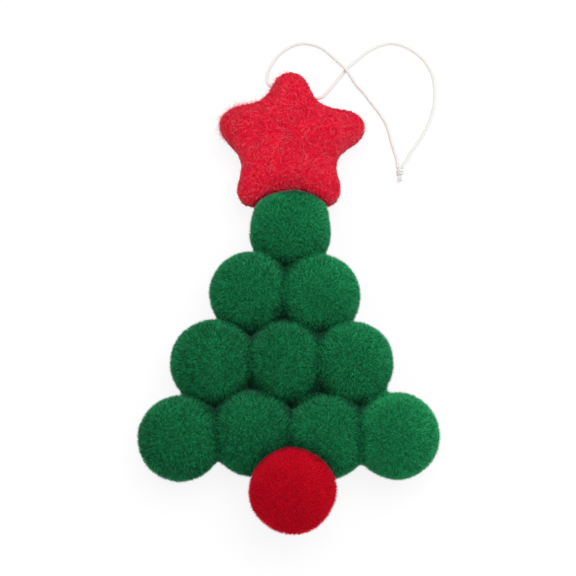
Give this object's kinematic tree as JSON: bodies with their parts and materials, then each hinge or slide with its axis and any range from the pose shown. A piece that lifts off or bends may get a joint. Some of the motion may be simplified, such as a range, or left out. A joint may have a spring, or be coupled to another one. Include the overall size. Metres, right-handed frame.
{
  "type": "felt tree ornament",
  "caption": "Tree-shaped hanging ornament of glued green felt balls with a red ball for the trunk, a padded red star on top and a knotted white cord loop.",
  "frame": {"origin": "on the surface that the ornament lies on, under the middle of the felt's width and height", "axes": "+Z out of the front, +Y from the trunk to the star, +X to the right seen from the front"},
  "size_m": [0.0729, 0.1273, 0.0261],
  "materials": {
    "green_felt": "dense dark green wool felt with a short nap and a fine lighter speckle",
    "red_felt": "dense deep red wool felt with a short nap",
    "star_felt": "bright red brushed felt with longer loose fibres and a pale sheen at the rim",
    "hot_melt_glue": "cloudy cream hot-melt glue",
    "white_cord": "white twisted cotton cord, slightly waxed"
  },
  "bodies": {
    "tree": {"green_ball_row1_1": "green_felt", "green_ball_row2_1": "green_felt", "green_ball_row2_2": "green_felt", "green_ball_row3_1": "green_felt", "green_ball_row3_2": "green_felt", "green_ball_row3_3": "green_felt", "green_ball_row4_1": "green_felt", "green_ball_row4_2": "green_felt", "green_ball_row4_3": "green_felt", "green_ball_row4_4": "green_felt", "trunk_ball": "red_felt", "star": "star_felt", "glue_row1_1_row2_1": "hot_melt_glue", "glue_row1_1_row2_2": "hot_melt_glue", "glue_row2_1_row3_1": "hot_melt_glue", "glue_row2_1_row3_2": "hot_melt_glue", "glue_row2_1_row2_2": "hot_melt_glue", "glue_row2_2_row3_2": "hot_melt_glue", "glue_row2_2_row3_3": "hot_melt_glue", "glue_row3_1_row4_1": "hot_melt_glue", "glue_row3_1_row4_2": "hot_melt_glue", "glue_row3_1_row3_2": "hot_melt_glue", "glue_row3_2_row4_2": "hot_melt_glue", "glue_row3_2_row4_3": "hot_melt_glue", "glue_row3_2_row3_3": "hot_melt_glue", "glue_row3_3_row4_3": "hot_melt_glue", "glue_row3_3_row4_4": "hot_melt_glue", "glue_row4_1_row4_2": "hot_melt_glue", "glue_row4_2_row4_3": "hot_melt_glue", "glue_row4_3_row4_4": "hot_melt_glue", "glue_trunk_row4_2": "hot_melt_glue", "glue_trunk_row4_3": "hot_melt_glue", "glue_star_row1_1": "hot_melt_glue"},
    "hanging_loop": {"cord_left_strand": "white_cord", "cord_right_strand": "white_cord", "cord_through_star": "white_cord", "cord_knot": "white_cord"}
  },
  "joints": [
    {"name": "loop_swing", "type": "hinge", "parent": "tree", "child": "hanging_loop", "pos_m": [0.00115, 0.05395, 0.0038], "axis": [0.9659, -0.2588, 0], "range_deg": [0, 90]}
  ]
}
